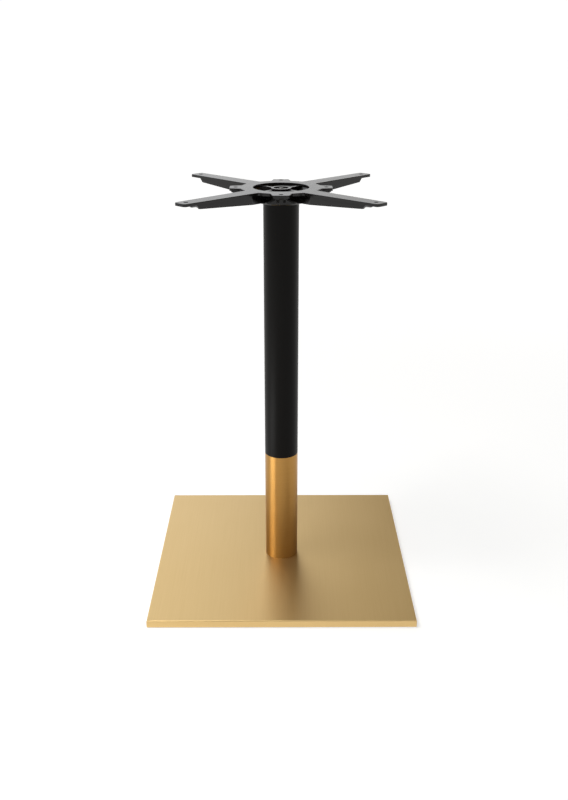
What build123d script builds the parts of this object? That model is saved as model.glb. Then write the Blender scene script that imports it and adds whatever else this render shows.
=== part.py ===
from build123d import *
import os

# Square pedestal table base: a folded metal cover over a steel ballast plate, a round column in two
# tubes, and a cast spider with four arms for the table top, all drawn together by one tie rod.
# Millimetres, +Z up, origin on the floor under the middle of the base.

# Overall
overall_height = 705.0  # floor to the face that carries the table top
base_side = 460.0  # square cover, outside to outside

# Base: pads on the floor, ballast on the pads, cover over the ballast
pad_thickness = 4.0
pad_side = 40.0
pad_corner = 5.0  # cut off each corner of a pad
pad_inset = 48.0  # side of the base to the middle of a pad
pad_edge = 0.8
ballast_thickness = 9.0
ballast_edge = 1.2
ballast_gap = 0.5  # ballast to skirt, each side
cover_sheet = 1.0
cover_bend = 1.8  # outside radius of the four folds
skirt_lift = 1.5  # floor to the lower edge of the skirts
corner_seam = 0.4  # open seam where two skirts meet

# Column
tube_diameter = 60.0
tube_wall = 2.0
lower_tube_length = 210.0
slip_gap = 0.15  # between a tube and what it plugs into or over, each side
joiner_length = 120.0
joiner_wall = 3.0
locator_height = 14.0

# Tie rod, nuts and washers
rod_diameter = 10.0
rod_edge = 1.0  # upper end
rod_below_top = 1.2  # end of the rod under the table-top face
thread_gap = 0.1  # plain bore standing for a thread, each side
rod_hole_gap = 0.5  # clearance hole round the rod, each side
nut_across_flats = 16.0
nut_height = 8.4
nut_edge = 0.8
nut_below_top = 2.6  # upper nut under the table-top face
washer_diameter = 20.0
washer_thickness = 2.0

# Spider: flat plate with a ring, arms and lugs
plate_thickness = 4.5
ring_bore = 93.0
ring_width = 21.5
valley_radius = 4.0  # inside corners where arms and lugs leave the ring
arm_reach = 217.0  # centre to the end of an arm
arm_root_width = 31.0
arm_tip_width = 26.0
arm_tip_corner = 6.0
lug_length = 17.0  # beyond the ring
lug_root_width = 33.0
lug_tip_width = 27.0
lug_tip_corner = 4.0
screw_hole = 6.5
arm_screw_inset = 14.0
lug_screw_inset = 10.0

# Spider: bowl under the ring, boss for the upper nut and socket for the column
bowl_depth = 14.0
bowl_wall = 5.0
bowl_floor = 4.0
socket_depth = 6.0
socket_rim = 9.85
hub_edge = 1.5
nut_pocket_gap = 2.5  # washer to the side of its pocket
boss_wall = 4.5
boss_below_top = 1.0
bowl_rib = 5.0
bowl_rib_below_top = 2.5

# Spider: walls under the arms, walls and ribs under the lugs
arm_tip_length = 31.0  # thin end of an arm beyond its walls
arm_wall = 4.0
arm_wall_inset = 2.0
arm_wall_slant = 6.0  # lean of the wall's outer end
arm_shoulder = 78.0  # centre to where the walls turn in towards the hub
arm_shoulder_round = 8.0
arm_neck_width = 8.0  # over both walls at the hub
arm_depth_at_hub = 21.0
arm_depth_at_end = 11.2
lug_wall = 4.0
lug_wall_inset = 3.0
lug_wall_spread = 59.0  # over both walls at half the hub's radius
lug_depth_at_hub = 21.0
lug_depth_at_end = 6.5
lug_rib = 4.0
lug_rib_pitch = 11.0
lug_rib_inset = 8.0  # end of the lug to the end of its ribs

# Levels and sizes that follow from the ones above
ballast_top = pad_thickness + ballast_thickness
cover_top = ballast_top + cover_sheet
joint_level = cover_top + lower_tube_length
locator_top = cover_top + locator_height
hub_depth = bowl_depth + bowl_floor + socket_depth
column_top = overall_height - bowl_depth - bowl_floor
nut_pocket_depth = nut_below_top + nut_height + washer_thickness
nut_seat = overall_height - nut_pocket_depth
tube_bore = tube_diameter - 2 * tube_wall
plug_diameter = tube_bore - 2 * slip_gap
rod_hole = rod_diameter + 2 * rod_hole_gap
tapped_hole = rod_diameter + 2 * thread_gap
ring_radius = ring_bore / 2 + ring_width
socket_radius = tube_diameter / 2 + slip_gap
hub_radius = socket_radius + socket_rim
bowl_floor_radius = hub_radius - bowl_wall
pocket_radius = washer_diameter / 2 + nut_pocket_gap
boss_radius = pocket_radius + boss_wall
arm_wall_end = arm_reach - arm_tip_length
lug_reach = ring_radius + lug_length
lug_wall_start = hub_radius / 2
lug_wall_end = lug_reach - lug_wall_inset
lug_rib_end = lug_reach - lug_rib_inset
arm_screw_radius = arm_reach - arm_screw_inset
lug_screw_radius = lug_reach - lug_screw_inset


def make_tube(low, high):
    """Length of column tube between two levels, cut square."""
    with BuildPart() as tube:
        with BuildSketch(Plane.XY.offset(low)):
            Circle(tube_diameter / 2)
            Circle(tube_bore / 2, mode=Mode.SUBTRACT)
        extrude(amount=high - low)
    return tube.part


def make_washer(level):
    """Flat washer lying at the given level."""
    with BuildPart() as washer:
        with BuildSketch(Plane.XY.offset(level)):
            Circle(washer_diameter / 2)
            Circle(rod_hole / 2, mode=Mode.SUBTRACT)
        extrude(amount=washer_thickness)
    return washer.part


def make_nut(level):
    """Hexagon nut standing at the given level, its edges broken at both ends."""
    with BuildPart() as nut:
        with BuildSketch(Plane.XY.offset(level)):
            RegularPolygon(nut_across_flats / 2, 6, major_radius=False)
        extrude(amount=nut_height)
        chamfer(nut.edges().filter_by(Plane.XY), nut_edge)
        with BuildSketch(Plane.XY.offset(level)):
            Circle(tapped_hole / 2)
        extrude(amount=nut_height, mode=Mode.SUBTRACT)
    return nut.part


def tapered_half_width(radius, reach, root_width, tip_width):
    """Half the width of an arm or lug, which changes evenly from the ring to its end."""
    share = (radius - ring_radius) / (reach - ring_radius)
    return (root_width + share * (tip_width - root_width)) / 2


def arm_half_width(radius):
    """Half the width of an arm at a distance from the centre."""
    return tapered_half_width(radius, arm_reach, arm_root_width, arm_tip_width)


def lug_half_width(radius):
    """Half the width of a lug at a distance from the centre."""
    return tapered_half_width(radius, lug_reach, lug_root_width, lug_tip_width)


def make_floor_pad(x, y):
    """Square floor pad with cut corners, centred at a point of the plan."""
    with BuildPart() as floor_pad:
        with BuildSketch():
            with Locations((x, y)):
                Rectangle(pad_side, pad_side)
        extrude(amount=pad_thickness)
        chamfer(floor_pad.edges().filter_by(Axis.Z), pad_corner)
        chamfer(floor_pad.edges().group_by(Axis.Z)[0], pad_edge)
    return floor_pad.part


# Ballast plate, cut from steel plate, lying on the pads and tapped for the tie rod
ballast_side = base_side - 2 * (cover_sheet + ballast_gap)
with BuildPart() as ballast_plate:
    with BuildSketch(Plane.XY.offset(pad_thickness)):
        Rectangle(ballast_side, ballast_side)
    extrude(amount=ballast_thickness)
    chamfer(ballast_plate.edges().filter_by(Plane.XY), ballast_edge)
    with BuildSketch(Plane.XY.offset(pad_thickness)):
        Circle(tapped_hole / 2)
    extrude(amount=ballast_thickness, mode=Mode.SUBTRACT)

# Cover, one sheet with its four sides folded down and a seam left open at each corner
skirt_height = cover_top - skirt_lift
corner_reach = base_side / 2**0.5
seam_cut = 4 * cover_sheet  # passes both skirts at a corner
with BuildPart() as base_cover:
    with BuildSketch(Plane.XY.offset(skirt_lift)):
        Rectangle(base_side, base_side)
    extrude(amount=skirt_height)
    fillet(base_cover.edges().group_by(Axis.Z)[-1], cover_bend)
    offset(amount=-cover_sheet, openings=base_cover.faces().sort_by(Axis.Z)[0])
    with BuildSketch(Plane.XY.offset(skirt_lift)):
        with PolarLocations(corner_reach, 4, start_angle=45):
            Rectangle(seam_cut, corner_seam)
    extrude(amount=skirt_height - cover_bend, mode=Mode.SUBTRACT)
    with BuildSketch(Plane.XY.offset(cover_top)):
        Circle(rod_hole / 2)
    extrude(amount=-cover_sheet, mode=Mode.SUBTRACT)

# Locator, a turned disc that centres the foot of the column on the cover
with BuildPart() as column_locator:
    with BuildSketch(Plane.XY.offset(cover_top)):
        Circle(plug_diameter / 2)
        Circle(rod_hole / 2, mode=Mode.SUBTRACT)
    extrude(amount=locator_height)

# Joiner, a sleeve half in each tube
with BuildPart() as tube_joiner:
    with BuildSketch(Plane.XY.offset(joint_level - joiner_length / 2)):
        Circle(plug_diameter / 2)
        Circle(plug_diameter / 2 - joiner_wall, mode=Mode.SUBTRACT)
    extrude(amount=joiner_length)

# Tie rod, screwed through the ballast and ending inside the spider's boss
rod_length = overall_height - rod_below_top - pad_thickness
with BuildPart() as tie_rod:
    with BuildSketch(Plane.XY.offset(pad_thickness)):
        Circle(rod_diameter / 2)
    extrude(amount=rod_length)
    chamfer(tie_rod.edges().group_by(Axis.Z)[-1], rod_edge)

# Walls under one arm, drawn along +X: a channel open below, narrow at the hub and shallow at its end
with BuildPart() as arm_walls:
    with BuildSketch(Plane.XZ):
        with BuildLine():
            Polyline(
                (bowl_floor_radius, overall_height - plate_thickness / 2),
                (arm_wall_end + arm_wall_slant, overall_height - plate_thickness / 2),
                (arm_wall_end + arm_wall_slant, overall_height - plate_thickness),
                (arm_wall_end, overall_height - arm_depth_at_end),
                (bowl_floor_radius, overall_height - arm_depth_at_hub),
                close=True,
            )
        make_face()
    extrude(amount=arm_root_width, both=True)
    with BuildSketch(Plane.XY.offset(overall_height - hub_depth)) as arm_plan:
        neck_half = arm_neck_width / 2
        shoulder_half = arm_half_width(arm_shoulder) - arm_wall_inset
        end_half = arm_half_width(arm_wall_end) - arm_wall_inset
        outer_end = arm_wall_end + arm_wall_slant
        Polygon(
            (bowl_floor_radius, -neck_half),
            (hub_radius, -neck_half),
            (arm_shoulder, -shoulder_half),
            (outer_end, -end_half),
            (outer_end, end_half),
            (arm_shoulder, shoulder_half),
            (hub_radius, neck_half),
            (bowl_floor_radius, neck_half),
            align=None,
        )
        fillet(arm_plan.vertices().group_by(Axis.X)[-2], arm_shoulder_round)
        offset(amount=-arm_wall, mode=Mode.SUBTRACT)
    extrude(amount=hub_depth, mode=Mode.INTERSECT)

# Walls and ribs under one lug, drawn along +X: two walls that close in outwards, two straight ribs
with BuildPart() as lug_walls:
    with BuildSketch(Plane.XZ):
        with BuildLine():
            Polyline(
                (lug_wall_start, overall_height - plate_thickness / 2),
                (lug_wall_end, overall_height - plate_thickness / 2),
                (lug_wall_end, overall_height - lug_depth_at_end),
                (bowl_floor_radius, overall_height - lug_depth_at_hub),
                (lug_wall_start, overall_height - lug_depth_at_hub),
                close=True,
            )
        make_face()
    extrude(amount=lug_wall_spread, both=True)
    with BuildSketch(Plane.XY.offset(overall_height - hub_depth)):
        near_half = lug_wall_spread / 2
        far_half = lug_tip_width / 2 - lug_wall_inset
        Polygon(
            (lug_wall_start, -near_half),
            (lug_wall_end, -far_half),
            (lug_wall_end, far_half),
            (lug_wall_start, near_half),
            align=None,
        )
        Polygon(
            (lug_wall_start, lug_wall - near_half),
            (lug_wall_end, lug_wall - far_half),
            (lug_wall_end, far_half - lug_wall),
            (lug_wall_start, near_half - lug_wall),
            align=None,
            mode=Mode.SUBTRACT,
        )
        rib_length = lug_rib_end - lug_wall_start
        with Locations((lug_wall_start, 0)):
            with GridLocations(0, lug_rib_pitch, 1, 2):
                Rectangle(rib_length, lug_rib, align=(Align.MIN, Align.CENTER))
    extrude(amount=hub_depth, mode=Mode.INTERSECT)

# Rib inside the bowl, drawn along +X from the boss to the bowl's wall
with BuildPart() as bowl_ribs:
    with BuildSketch(Plane.XZ):
        with BuildLine():
            Polyline(
                (boss_radius - boss_wall / 2, overall_height - bowl_rib_below_top),
                (ring_bore / 2 + bowl_wall / 2, overall_height - bowl_rib_below_top),
                (ring_bore / 2 + bowl_wall / 2, overall_height - plate_thickness),
                (bowl_floor_radius + bowl_wall / 2, overall_height - bowl_depth),
                (bowl_floor_radius, overall_height - bowl_depth - bowl_floor / 2),
                (boss_radius - boss_wall / 2, overall_height - bowl_depth - bowl_floor / 2),
                close=True,
            )
        make_face()
    extrude(amount=bowl_rib / 2, both=True)

# Spider, one casting: plate, hub, arm walls and lug walls, then the bowl sunk into it
with BuildPart() as spider:
    with BuildSketch(Plane.XY.offset(overall_height - plate_thickness)) as plan:
        Circle(ring_radius)
        with PolarLocations(0, 4, start_angle=45):
            Polygon(
                (bowl_floor_radius, -arm_half_width(bowl_floor_radius)),
                (arm_reach, -arm_tip_width / 2),
                (arm_reach, arm_tip_width / 2),
                (bowl_floor_radius, arm_half_width(bowl_floor_radius)),
                align=None,
            )
        with PolarLocations(0, 4):
            Polygon(
                (bowl_floor_radius, -lug_half_width(bowl_floor_radius)),
                (lug_reach, -lug_tip_width / 2),
                (lug_reach, lug_tip_width / 2),
                (bowl_floor_radius, lug_half_width(bowl_floor_radius)),
                align=None,
            )
        # Going out and back by the same amount rounds the inside corners only
        offset(amount=valley_radius, kind=Kind.INTERSECTION)
        offset(amount=-valley_radius, kind=Kind.ARC)
        fillet(plan.vertices().group_by(SortBy.DISTANCE)[-2], lug_tip_corner)
        fillet(plan.vertices().group_by(SortBy.DISTANCE)[-1], arm_tip_corner)
    extrude(amount=plate_thickness)
    with BuildSketch(Plane.XZ):
        with BuildLine():
            Polyline(
                (0, overall_height - plate_thickness / 2),
                (ring_bore / 2 + bowl_wall, overall_height - plate_thickness / 2),
                (ring_bore / 2 + bowl_wall, overall_height - plate_thickness),
                (hub_radius, overall_height - bowl_depth),
                (hub_radius, overall_height - hub_depth + hub_edge),
                (hub_radius - hub_edge, overall_height - hub_depth),
                (0, overall_height - hub_depth),
                close=True,
            )
        make_face()
    revolve(axis=Axis.Z)
    with PolarLocations(0, 4, start_angle=45):
        add(arm_walls.part)
    with PolarLocations(0, 4):
        add(lug_walls.part)
    with BuildSketch(Plane.XZ):
        with BuildLine():
            Polyline(
                (0, overall_height),
                (ring_bore / 2, overall_height),
                (ring_bore / 2, overall_height - plate_thickness),
                (bowl_floor_radius, overall_height - bowl_depth),
                (boss_radius, overall_height - bowl_depth),
                (boss_radius, overall_height - boss_below_top),
                (pocket_radius, overall_height - boss_below_top),
                (pocket_radius, nut_seat),
                (0, nut_seat),
                close=True,
            )
        make_face()
    revolve(axis=Axis.Z, mode=Mode.SUBTRACT)
    with PolarLocations(0, 4, start_angle=45):
        add(bowl_ribs.part)
    with BuildSketch(Plane.XY.offset(overall_height - hub_depth)):
        Circle(socket_radius)
    extrude(amount=socket_depth, mode=Mode.SUBTRACT)
    with BuildSketch(Plane.XY.offset(overall_height - hub_depth)):
        Circle(rod_hole / 2)
    extrude(amount=hub_depth, mode=Mode.SUBTRACT)
    with BuildSketch(Plane.XY.offset(overall_height)):
        with PolarLocations(arm_screw_radius, 4, start_angle=45):
            Circle(screw_hole / 2)
        with PolarLocations(lug_screw_radius, 4):
            Circle(screw_hole / 2)
    extrude(amount=-plate_thickness, mode=Mode.SUBTRACT)

pad_reach = base_side / 2 - pad_inset
pieces = {
    "base_cover": base_cover.part,
    "ballast_plate": ballast_plate.part,
    "floor_pad_front_left": make_floor_pad(-pad_reach, -pad_reach),
    "floor_pad_front_right": make_floor_pad(pad_reach, -pad_reach),
    "floor_pad_rear_left": make_floor_pad(-pad_reach, pad_reach),
    "floor_pad_rear_right": make_floor_pad(pad_reach, pad_reach),
    "column_locator": column_locator.part,
    "locator_washer": make_washer(locator_top),
    "locator_nut": make_nut(locator_top + washer_thickness),
    "lower_tube": make_tube(cover_top, joint_level),
    "tube_joiner": tube_joiner.part,
    "upper_tube": make_tube(joint_level, column_top),
    "tie_rod": tie_rod.part,
    "top_washer": make_washer(nut_seat),
    "top_nut": make_nut(nut_seat + washer_thickness),
    "spider": spider.part,
}
os.makedirs("parts", exist_ok=True)
for name, piece in pieces.items():
    piece.label = name
    export_step(piece, f"parts/{name}.step")
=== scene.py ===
import math

import bpy
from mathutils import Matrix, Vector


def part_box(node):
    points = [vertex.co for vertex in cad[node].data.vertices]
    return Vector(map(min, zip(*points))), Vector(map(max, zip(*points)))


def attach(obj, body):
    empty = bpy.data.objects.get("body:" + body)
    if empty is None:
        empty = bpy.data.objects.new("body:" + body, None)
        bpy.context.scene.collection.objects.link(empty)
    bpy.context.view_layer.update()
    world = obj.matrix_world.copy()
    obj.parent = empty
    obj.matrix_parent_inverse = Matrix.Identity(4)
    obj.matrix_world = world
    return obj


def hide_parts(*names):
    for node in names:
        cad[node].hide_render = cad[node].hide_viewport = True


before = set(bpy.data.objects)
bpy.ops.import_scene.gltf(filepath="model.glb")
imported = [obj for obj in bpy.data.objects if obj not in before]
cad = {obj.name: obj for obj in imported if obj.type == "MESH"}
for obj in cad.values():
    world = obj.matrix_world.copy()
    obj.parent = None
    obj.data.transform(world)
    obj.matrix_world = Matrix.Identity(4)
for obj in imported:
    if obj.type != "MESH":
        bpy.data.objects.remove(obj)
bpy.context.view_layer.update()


# Floor pads
# Four square pads of black rubber, moulded with a dull, slightly grainy skin.
# They are glued under the corners of the ballast plate and carry the whole base.
def linear(colour):
    """Linear red, green, blue and alpha of an sRGB hex colour."""
    shares = [int(colour[i : i + 2], 16) / 255 for i in (1, 3, 5)]
    return [s / 12.92 if s <= 0.04045 else ((s + 0.055) / 1.055) ** 2.4 for s in shares] + [1.0]


def add_node(tree, kind, inputs=None, to=None, **settings):
    """Adds one shader node; an input is a value or a socket, and to names a socket of the finish's shader."""
    node = tree.nodes.new(kind)
    for name, value in settings.items():
        setattr(node, name, value)
    for name, value in (inputs or {}).items():
        if isinstance(value, bpy.types.NodeSocket):
            tree.links.new(value, node.inputs[name])
        else:
            node.inputs[name].default_value = value
    if to:
        tree.links.new(node.outputs[0], tree.nodes["Principled BSDF"].inputs[to])
    return node


def start_finish(name, **values):
    """Starts a finish with plain shader values; gives its material, node tree and Object coordinates."""
    finish = bpy.data.materials.new(name)
    finish.use_nodes = True
    tree = finish.node_tree
    for socket, value in values.items():
        tree.nodes["Principled BSDF"].inputs[socket.replace("_", " ")].default_value = value
    return finish, tree, add_node(tree, "ShaderNodeTexCoord").outputs["Object"]


# Moulded rubber looks black and dull, with a fine grain that only just catches the light
rubber_grain_mm = 0.8
rubber, tree, place = start_finish("black_moulded_rubber", Specular_IOR_Level=0.3)
grain = add_node(
    tree,
    "ShaderNodeTexNoise",
    {"Vector": place, "Scale": 1000 / rubber_grain_mm, "Detail": 3.0},
).outputs["Fac"]
add_node(
    tree,
    "ShaderNodeMixRGB",
    {"Fac": grain, "Color1": linear("#161514"), "Color2": linear("#292826")},
    to="Base Color",
)
add_node(tree, "ShaderNodeMapRange", {"Value": grain, "To Min": 0.72, "To Max": 0.88}, to="Roughness")
add_node(tree, "ShaderNodeBump", {"Height": grain, "Distance": 0.0002, "Strength": 0.4}, to="Normal")
for corner in ("front_left", "front_right", "rear_left", "rear_right"):
    cad["floor_pad_" + corner].material_slots[0].material = rubber

# Ballast plate
# A square of hot-rolled steel plate in grey primer, which gives the base its weight.
# It lies on the pads, under the cover, and is tapped in the middle for the tie rod.
# Sprayed primer looks flat and chalky, with cloudy patches where the coat is thinner.
primer_cloud_mm = 60.0
primer_speck_mm = 1.5
primer, tree, place = start_finish("grey_sprayed_primer", Specular_IOR_Level=0.3)
clouds = add_node(
    tree,
    "ShaderNodeTexNoise",
    {"Vector": place, "Scale": 1000 / primer_cloud_mm, "Detail": 6.0},
).outputs["Fac"]
specks = add_node(
    tree,
    "ShaderNodeTexNoise",
    {"Vector": place, "Scale": 1000 / primer_speck_mm, "Detail": 2.0},
).outputs["Fac"]
add_node(
    tree,
    "ShaderNodeMixRGB",
    {"Fac": clouds, "Color1": linear("#454442"), "Color2": linear("#696764")},
    to="Base Color",
)
add_node(tree, "ShaderNodeMapRange", {"Value": specks, "To Min": 0.6, "To Max": 0.8}, to="Roughness")
add_node(tree, "ShaderNodeBump", {"Height": specks, "Distance": 0.0001, "Strength": 0.5}, to="Normal")
cad["ballast_plate"].material_slots[0].material = primer

# Base cover
# One square steel sheet with its four sides folded down over the ballast.
# It is brushed, plated to a pale brass and lacquered, and the rod holds it between ballast and locator.
# The brush lines blur what the sheet reflects to the sides and leave faint streaks from front to back.
brush_line_mm = 1.6  # drawn coarser than the real lines, which would not show
brush_length_mm = 140.0
plating_cloud_mm = 160.0
brass_sheet, tree, place = start_finish(
    "brushed_pale_brass_plate",
    Metallic=0.9,
    Anisotropic=0.6,
    Coat_Weight=0.25,
    Coat_Roughness=0.25,
)
along_brush = add_node(
    tree,
    "ShaderNodeMapping",
    {"Vector": place, "Scale": (1000 / brush_line_mm, 1000 / brush_length_mm, 1000 / brush_line_mm)},
).outputs["Vector"]
lines = add_node(
    tree,
    "ShaderNodeTexNoise",
    {"Vector": along_brush, "Scale": 1.0, "Detail": 3.0},
).outputs["Fac"]
patches = add_node(
    tree,
    "ShaderNodeTexNoise",
    {"Vector": place, "Scale": 1000 / plating_cloud_mm, "Detail": 2.0},
).outputs["Fac"]
mixed = add_node(tree, "ShaderNodeMath", {0: lines, 1: patches}, operation="ADD").outputs["Value"]
share = add_node(tree, "ShaderNodeMath", {0: mixed, 1: 0.5}, operation="MULTIPLY").outputs["Value"]
add_node(
    tree,
    "ShaderNodeMixRGB",
    {"Fac": share, "Color1": linear("#D7B475"), "Color2": linear("#E5C58A")},
    to="Base Color",
)
add_node(tree, "ShaderNodeMapRange", {"Value": share, "To Min": 0.34, "To Max": 0.42}, to="Roughness")
add_node(tree, "ShaderNodeBump", {"Height": lines, "Distance": 0.00001, "Strength": 0.25}, to="Normal")
add_node(tree, "ShaderNodeTangent", to="Tangent", direction_type="RADIAL", axis="Y")
cad["base_cover"].material_slots[0].material = brass_sheet


# Tie rod
# A long steel rod in black zinc, with a coarse 10 mm thread rolled on both ends.
# It is screwed into the ballast plate and draws the whole base together from the top.
def round_bar(name, radius, low, high, chamfer):
    """Adds an upright round bar on the column's axis, with both ends chamfered."""
    bpy.ops.object.select_all(action="DESELECT")
    middle = (0, 0, (low + high) / 2)
    bpy.ops.mesh.primitive_cylinder_add(vertices=64, radius=radius, depth=high - low, location=middle)
    bar = bpy.context.object
    bar.name = name
    bpy.ops.object.transform_apply(location=True)
    ends = bar.modifiers.new("chamfered_ends", "BEVEL")
    ends.width = chamfer
    ends.segments = 1
    ends.limit_method = "ANGLE"
    ends.angle_limit = math.radians(60.0)
    bpy.ops.object.modifier_apply(modifier=ends.name)
    return bar


def dress(piece, finish, node):
    """Gives a new piece its finish and lets it stand for a CAD node of the base."""
    piece.data.materials.clear()
    piece.data.materials.append(finish)
    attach(piece, "root")
    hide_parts(node)


rod_low, rod_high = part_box("tie_rod")
rod_radius = rod_high[0]
thread_pitch = 0.0015
thread_depth = 0.0009
thread_inset = 0.0012  # end of the rod to the first turn
flank_slope = math.tan(math.radians(30.0))
turn_steps = 32
rod_chamfer = 0.0008
shank_chamfer = 0.0004
shank_radius = rod_radius - thread_depth / 2
upper_turns = 24
lower_turns = 6
rod = round_bar("threaded_tie_rod", rod_radius - thread_depth, rod_low[2], rod_high[2], rod_chamfer)
lower_thread = rod_low[2] + thread_inset
upper_thread = rod_high[2] - thread_inset - upper_turns * thread_pitch
shank_low = lower_thread + lower_turns * thread_pitch
shank = round_bar("shank", shank_radius, shank_low, upper_thread, shank_chamfer)
joined = [shank]
for thread_start, turns in ((lower_thread, lower_turns), (upper_thread, upper_turns)):
    bpy.ops.object.select_all(action="DESELECT")
    ridge_middle = (rod_radius - thread_depth, 0, thread_start)
    bpy.ops.mesh.primitive_circle_add(
        vertices=4,
        radius=thread_depth,
        location=ridge_middle,
        rotation=(math.pi / 2, 0, 0),
    )
    ridge = bpy.context.object
    bpy.ops.object.transform_apply(location=True, rotation=True)
    bpy.ops.object.mode_set(mode="EDIT")
    bpy.ops.transform.resize(value=(1, 1, flank_slope), center_override=ridge_middle)
    bpy.ops.object.mode_set(mode="OBJECT")
    helix = ridge.modifiers.new("helix", "SCREW")
    helix.axis = "Z"
    helix.screw_offset = thread_pitch
    helix.iterations = turns
    helix.steps = turn_steps
    helix.render_steps = turn_steps
    bpy.ops.object.modifier_apply(modifier=helix.name)
    bpy.ops.object.mode_set(mode="EDIT")
    bpy.ops.mesh.select_all(action="SELECT")
    bpy.ops.mesh.fill_holes(sides=4)
    bpy.ops.mesh.normals_make_consistent(inside=False)
    bpy.ops.object.mode_set(mode="OBJECT")
    joined.append(ridge)
bpy.ops.object.select_all(action="DESELECT")
for piece in joined + [rod]:
    piece.select_set(True)
bpy.context.view_layer.objects.active = rod
bpy.ops.object.join()
turned_edge = math.radians(30.0)  # a steeper edge stays sharp
bpy.ops.object.shade_smooth_by_angle(angle=turned_edge)
# Black zinc on steel is a dark, slightly brown grey that still shines at its edges
zinc_mottle_mm = 2.0
black_zinc, tree, place = start_finish("black_zinc_plated_steel", Metallic=1.0)
mottle = add_node(
    tree,
    "ShaderNodeTexNoise",
    {"Vector": place, "Scale": 1000 / zinc_mottle_mm, "Detail": 3.0},
).outputs["Fac"]
add_node(
    tree,
    "ShaderNodeMixRGB",
    {"Fac": mottle, "Color1": linear("#3A3835"), "Color2": linear("#5C5854")},
    to="Base Color",
)
add_node(tree, "ShaderNodeMapRange", {"Value": mottle, "To Min": 0.26, "To Max": 0.4}, to="Roughness")
dress(rod, black_zinc, "tie_rod")

# Column locator, its washer and its nut, and the tube joiner
# Turned steel: the locator is a disc that centres the foot of the column on the cover, and a nut and
# washer in black zinc clamp it down on the rod. The joiner is a sleeve inside the two tubes.
# Turned steel is bright grey, with fine rings from the tool that spread each highlight.
tool_ring_mm = 0.6
ring_at_scale_1 = math.tau / 20  # the wave node turns by 20 radians per unit
turned_steel, tree, place = start_finish("turned_bare_steel", Metallic=1.0)
rings = add_node(
    tree,
    "ShaderNodeTexWave",
    {"Vector": place, "Scale": ring_at_scale_1 * 1000 / tool_ring_mm, "Distortion": 0.4, "Detail": 2.0},
    wave_type="RINGS",
    rings_direction="Z",
).outputs["Fac"]
add_node(
    tree,
    "ShaderNodeMixRGB",
    {"Fac": rings, "Color1": linear("#9B9995"), "Color2": linear("#B1AFAB")},
    to="Base Color",
)
add_node(tree, "ShaderNodeMapRange", {"Value": rings, "To Min": 0.28, "To Max": 0.4}, to="Roughness")
for turned in ("column_locator", "tube_joiner"):
    cad[turned].material_slots[0].material = turned_steel
for fastener in ("locator_washer", "locator_nut"):
    cad[fastener].material_slots[0].material = black_zinc

# Lower tube
# The lower length of the column, a round steel tube plated in brass; its colour is drawn darker than the
# sheet's as painted shade.
# It stands on the cover around the locator and carries the upper tube.
# It was polished while turning, so highlights stay narrow around the tube and run along its whole length.
polish_ring_mm = 0.9
polish_run_mm = 50.0  # how far a ring runs round the tube before it changes
shaded_brass_tube, tree, place = start_finish(
    "polished_brass_with_painted_shade",
    Metallic=1.0,
    Anisotropic=0.85,
    Anisotropic_Rotation=0.25,
)
rings_only = add_node(
    tree,
    "ShaderNodeMapping",
    {"Vector": place, "Scale": (1000 / polish_run_mm, 1000 / polish_run_mm, 1000 / polish_ring_mm)},
).outputs["Vector"]
polish = add_node(
    tree,
    "ShaderNodeTexNoise",
    {"Vector": rings_only, "Scale": 1.0, "Detail": 2.0},
).outputs["Fac"]
# Both colours are darker than the sheet's brass: this is painted shade standing in for the dim room that the
# tube mirrors.
add_node(
    tree,
    "ShaderNodeMixRGB",
    {"Fac": polish, "Color1": linear("#AC8145"), "Color2": linear("#B88D50")},
    to="Base Color",
)
add_node(tree, "ShaderNodeMapRange", {"Value": polish, "To Min": 0.3, "To Max": 0.38}, to="Roughness")
add_node(tree, "ShaderNodeTangent", to="Tangent", direction_type="RADIAL", axis="Z")
cad["lower_tube"].material_slots[0].material = shaded_brass_tube

# Upper tube
# The upper length of the column, the same steel tube in satin black powder coat.
# It sits flush on the lower tube, held in line by the joiner inside.
# Powder coat has a fine orange-peel skin that softens every reflection.
orange_peel_mm = 1.2
powder_coat, tree, place = start_finish("satin_black_powder_coat", Specular_IOR_Level=0.1)
peel = add_node(
    tree,
    "ShaderNodeTexNoise",
    {"Vector": place, "Scale": 1000 / orange_peel_mm, "Detail": 1.0},
).outputs["Fac"]
add_node(
    tree,
    "ShaderNodeMixRGB",
    {"Fac": peel, "Color1": linear("#080706"), "Color2": linear("#0D0B09")},
    to="Base Color",
)
add_node(tree, "ShaderNodeMapRange", {"Value": peel, "To Min": 0.36, "To Max": 0.44}, to="Roughness")
add_node(tree, "ShaderNodeBump", {"Height": peel, "Distance": 0.00005, "Strength": 0.3}, to="Normal")
cad["upper_tube"].material_slots[0].material = powder_coat

# Spider
# One iron casting with four ribbed arms and a bowl for the nut, in gloss black enamel.
# It sits on the top of the column and is drawn down by the tie rod.
# The enamel rounds the edges a little and follows the sand-cast skin, so flat faces shine unevenly.
casting_edge = 0.0007
casting_crease = math.radians(21.0)  # a steeper edge stays sharp
weld_gap = 0.00001
table_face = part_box("spider")[1][2]
spider_mesh = cad["spider"].data.copy()
casting = bpy.data.objects.new("spider_casting", spider_mesh)
bpy.context.scene.collection.objects.link(casting)
bpy.ops.object.select_all(action="DESELECT")
casting.select_set(True)
bpy.context.view_layer.objects.active = casting
bpy.ops.mesh.customdata_custom_splitnormals_clear()
bpy.ops.object.mode_set(mode="EDIT")
bpy.ops.mesh.select_all(action="SELECT")
bpy.ops.mesh.remove_doubles(threshold=weld_gap)
bpy.ops.object.mode_set(mode="OBJECT")
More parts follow.
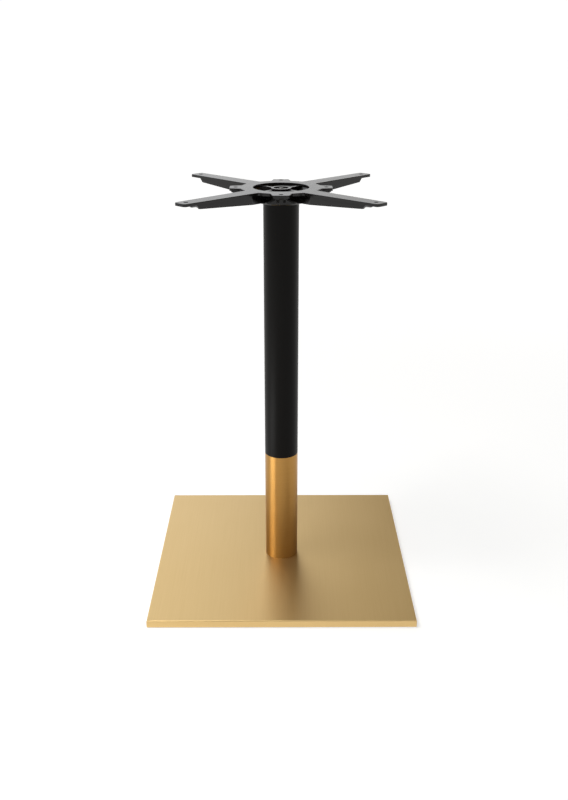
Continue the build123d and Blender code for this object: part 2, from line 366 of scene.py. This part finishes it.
# The ground face under the table top gets a rounded rim; the bevel folds its long CAD triangles, so it
# is filled anew inside that rim
for step in ("round", "fill"):
    bpy.context.tool_settings.mesh_select_mode = (False, False, True)
    for face in casting.data.polygons:
        lowest = min(casting.data.vertices[i].co.z for i in face.vertices)
        face.select = lowest > table_face - weld_gap
    bpy.ops.object.mode_set(mode="EDIT")
    if step == "round":
        bpy.ops.mesh.region_to_loop()
        bpy.ops.mesh.bevel(offset=casting_edge, segments=2, loop_slide=False, clamp_overlap=False)
    else:
        bpy.ops.mesh.delete(type="FACE")
        bpy.ops.mesh.select_mode(type="EDGE")
        bpy.ops.mesh.select_non_manifold(
            extend=False,
            use_wire=False,
            use_multi_face=False,
            use_non_contiguous=False,
            use_verts=False,
        )
        bpy.ops.mesh.fill(use_beauty=True)
        bpy.ops.mesh.region_to_loop()
        bpy.ops.mesh.mark_sharp()
    bpy.ops.object.mode_set(mode="OBJECT")
bpy.ops.object.shade_smooth_by_angle(angle=casting_crease, keep_sharp_edges=True)
flats = casting.modifiers.new("flat_faces_stay_flat", "WEIGHTED_NORMAL")
flats.weight = 100
flats.keep_sharp = True
bpy.ops.object.modifier_apply(modifier=flats.name)
sand_grain_mm = 1.4
casting_wave_mm = 9.0
enamel, tree, place = start_finish("gloss_black_enamel", Specular_IOR_Level=0.33)
sand = add_node(
    tree,
    "ShaderNodeTexNoise",
    {"Vector": place, "Scale": 1000 / sand_grain_mm, "Detail": 3.0},
).outputs["Fac"]
waves = add_node(
    tree,
    "ShaderNodeTexNoise",
    {"Vector": place, "Scale": 1000 / casting_wave_mm, "Detail": 2.0},
).outputs["Fac"]
add_node(
    tree,
    "ShaderNodeMixRGB",
    {"Fac": sand, "Color1": linear("#0D0C0B"), "Color2": linear("#151413")},
    to="Base Color",
)
add_node(tree, "ShaderNodeMapRange", {"Value": waves, "To Min": 0.12, "To Max": 0.22}, to="Roughness")
add_node(tree, "ShaderNodeBump", {"Height": sand, "Distance": 0.00006, "Strength": 0.25}, to="Normal")
dress(casting, enamel, "spider")


# Top washer and top nut
# A stamped washer and a hexagon nut in the same black zinc as the rod.
# They sit in the boss of the bowl and pull the spider down on the column.
def carve(piece, tool, operation):
    """Cuts a piece with a second one, or keeps what they share, and removes the second one."""
    cut = piece.modifiers.new("carved", "BOOLEAN")
    cut.operation = operation
    cut.object = tool
    bpy.context.view_layer.objects.active = piece
    bpy.ops.object.modifier_apply(modifier=cut.name)
    bpy.data.objects.remove(tool)


washer_low, washer_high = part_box("top_washer")
washer_bore = 0.0055
washer_edge = 0.0004
past = 0.001  # how far a cutting bar passes the piece
washer = round_bar("top_washer_ring", washer_high[0], washer_low[2], washer_high[2], washer_edge)
bore = round_bar("bore", washer_bore, washer_low[2] - past, washer_high[2] + past, washer_edge)
carve(washer, bore, "DIFFERENCE")
nut_low, nut_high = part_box("top_nut")
thread_play = 0.0001
nut_bore = rod_radius + thread_play
nut_corner = nut_high[0]
blank_radius = nut_corner + 0.00002  # just clears the corners half-way up
corner_cut = 0.0015  # chamfer that takes the corners off both ends
corner_rise = 0.0006  # how far that chamfer starts beyond the ends
bpy.ops.object.select_all(action="DESELECT")
bpy.ops.mesh.primitive_cylinder_add(
    vertices=6,
    radius=nut_corner,
    depth=nut_high[2] - nut_low[2],
    location=(0, 0, (nut_low[2] + nut_high[2]) / 2),
    rotation=(0, 0, math.pi / 2),
)
nut = bpy.context.object
nut.name = "top_hexagon_nut"
bpy.ops.object.transform_apply(location=True, rotation=True)
blank = round_bar(
    "turned_blank",
    blank_radius,
    nut_low[2] - corner_rise,
    nut_high[2] + corner_rise,
    corner_cut,
)
carve(nut, blank, "INTERSECT")
bore = round_bar("bore", nut_bore, nut_low[2] - past, nut_high[2] + past, washer_edge)
carve(nut, bore, "DIFFERENCE")
for piece, node in ((washer, "top_washer"), (nut, "top_nut")):
    bpy.ops.object.select_all(action="DESELECT")
    piece.select_set(True)
    bpy.context.view_layer.objects.active = piece
    bpy.ops.object.shade_smooth_by_angle(angle=turned_edge)
    dress(piece, black_zinc, node)

# Studio
# A pale floor that keeps the shadow and looks white to the camera and in the metal, with a white backdrop
# all round it. The walls above are light on the left and dim on the right, and two soft lights, a low strip
# on the left and a large one overhead, give the highlights.
scene = bpy.context.scene
scene.view_settings.view_transform = "Standard"
bpy.ops.object.select_all(action="DESELECT")
floor_side = 60.0
near, far = 0.6, 3.0  # metres from the middle of the floor
near_white, far_white = 0.6, 0.8  # white added to the lit floor there
bpy.ops.mesh.primitive_plane_add(size=floor_side, location=(0, 0, 0))
floor = bpy.context.object
floor.name = "studio_floor"
paint = bpy.data.materials.new("pale_studio_floor")
paint.use_nodes = True
tree = paint.node_tree
tree.nodes.clear()
path = add_node(tree, "ShaderNodeLightPath")
spot = add_node(tree, "ShaderNodeTexCoord").outputs["Object"]
distance = add_node(tree, "ShaderNodeVectorMath", {0: spot}, operation="LENGTH").outputs["Value"]
white_share = add_node(
    tree,
    "ShaderNodeMapRange",
    {"Value": distance, "From Min": near, "From Max": far, "To Min": near_white, "To Max": far_white},
    interpolation_type="SMOOTHSTEP",
).outputs["Result"]
seen = path.outputs["Is Camera Ray"]
for ray in ("Is Glossy Ray", "Is Transmission Ray"):
    both = {0: seen, 1: path.outputs[ray]}
    seen = add_node(tree, "ShaderNodeMath", both, operation="MAXIMUM").outputs["Value"]
matt = add_node(tree, "ShaderNodeBsdfDiffuse", {"Color": linear("#BFBFBD")}).outputs["BSDF"]
glow = add_node(tree, "ShaderNodeEmission", {"Strength": white_share}).outputs["Emission"]
white = add_node(tree, "ShaderNodeAddShader", {0: matt, 1: glow}).outputs["Shader"]
surface = add_node(tree, "ShaderNodeMixShader", {0: seen, 1: matt, 2: white}).outputs["Shader"]
add_node(tree, "ShaderNodeOutputMaterial", {"Surface": surface})
floor.data.materials.append(paint)

room_strength = 1.33
room = bpy.data.worlds.new("studio_room")
room.use_nodes = True
scene.world = room
tree = room.node_tree
tree.nodes.clear()
toward = add_node(tree, "ShaderNodeTexCoord").outputs["Generated"]
along = add_node(tree, "ShaderNodeSeparateXYZ", {"Vector": toward}).outputs
# Each share goes from 0 to 1 as the direction's part along an axis goes from start to end
right_share, left_end, rear_share, high, low = [
    add_node(
        tree,
        "ShaderNodeMapRange",
        {"Value": along[axis], "From Min": start, "From Max": end},
        interpolation_type="SMOOTHSTEP",
    ).outputs["Result"]
    for axis, start, end in (
        ("X", -0.04, 0.1),
        ("X", -0.4, -0.65),
        ("Y", -0.3, 0.3),
        ("Z", 0.8, 0.95),
        ("Z", 0.3, 0.18),
    )
]
upper_share = add_node(tree, "ShaderNodeMath", {0: rear_share, 1: high}, operation="MAXIMUM").outputs["Value"]
front = add_node(
    tree,
    "ShaderNodeMixRGB",
    {"Fac": right_share, "Color1": linear("#8E8E90"), "Color2": linear("#4E4236")},
).outputs["Color"]
rear = add_node(
    tree,
    "ShaderNodeMixRGB",
    {"Fac": right_share, "Color1": linear("#F6FAFF"), "Color2": linear("#45360C")},
).outputs["Color"]
walls = add_node(
    tree,
    "ShaderNodeMixRGB",
    {"Fac": upper_share, "Color1": front, "Color2": rear},
).outputs["Color"]
walls = add_node(
    tree,
    "ShaderNodeMixRGB",
    {"Fac": left_end, "Color1": walls, "Color2": linear("#5C5A56")},
).outputs["Color"]
surround = add_node(
    tree,
    "ShaderNodeMixRGB",
    {"Fac": low, "Color1": walls, "Color2": linear("#E4E4E4")},
).outputs["Color"]
background = add_node(tree, "ShaderNodeBackground", {"Color": surround, "Strength": room_strength})
add_node(tree, "ShaderNodeOutputWorld", {"Surface": background.outputs["Background"]})


def add_light(name, place, target, width, height, watts):
    """Adds a soft light of the given size at a place, turned to face a target."""
    bpy.ops.object.light_add(type="AREA", location=place)
    lamp = bpy.context.object
    lamp.name = name
    lamp.data.shape = "RECTANGLE"
    lamp.data.size = width
    lamp.data.size_y = height
    lamp.data.energy = watts
    aim = [t - p for t, p in zip(target, place)]
    across = math.hypot(aim[0], aim[1])
    lamp.rotation_euler = (math.atan2(across, -aim[2]), 0, math.atan2(-aim[0], aim[1]))
    lamp.visible_camera = False


add_light("strip_light", place=(-0.525, -0.29, 0.05), target=(0, 0, 0.1), width=0.39, height=0.1, watts=0.8)
add_light("overhead_light", place=(-1.1, -0.4, 2.5), target=(0, 0, 0), width=1.2, height=0.8, watts=42.0)

# Camera
# It stands in front of the part, a little above the top, and looks down at the column.
camera_place = (-0.001147, -1.565348, 0.953511)
camera_pitch = math.radians(21.845)
camera_turn = math.radians(0.217)
bpy.ops.object.camera_add(
    location=camera_place,
    rotation=(math.pi / 2 - camera_pitch, 0, -camera_turn),
)
camera = bpy.context.object
camera.data.sensor_width = 36.0
camera.data.lens = 42.12
scene.camera = camera
